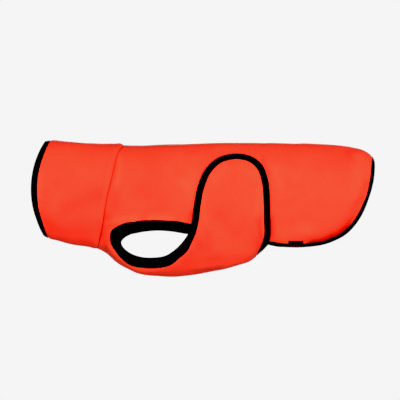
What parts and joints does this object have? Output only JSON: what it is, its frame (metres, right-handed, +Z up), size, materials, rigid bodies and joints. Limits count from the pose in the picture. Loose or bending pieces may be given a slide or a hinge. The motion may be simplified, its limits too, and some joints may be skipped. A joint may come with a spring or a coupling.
{
  "type": "fleece dog sweater",
  "caption": "Pull-on fleece sweater for a dog, with a tube collar, taped leg openings, and a belly panel whose side wings close over the coat.",
  "frame": {"origin": "on the inside of the coat, on the spine, halfway along the sweater, where it rests on the wearer's back", "axes": "+X towards the wearer's tail, +Y towards the wearer's right, +Z up; the neck opening faces -X"},
  "size_m": [0.5502, 0.156, 0.2194],
  "materials": {
    "fleece": "matt brushed fleece",
    "tape": "matt elastic binding",
    "label": "plain woven tab"
  },
  "bodies": {
    "root": {"collar": "fleece", "back_panel": "fleece", "belly_panel": "fleece", "neck_tape": "tape", "leg_tape_left": "tape", "leg_tape_right": "tape", "wing_tape": "tape", "hem_tape": "tape", "label": "label"}
  },
  "joints": []
}
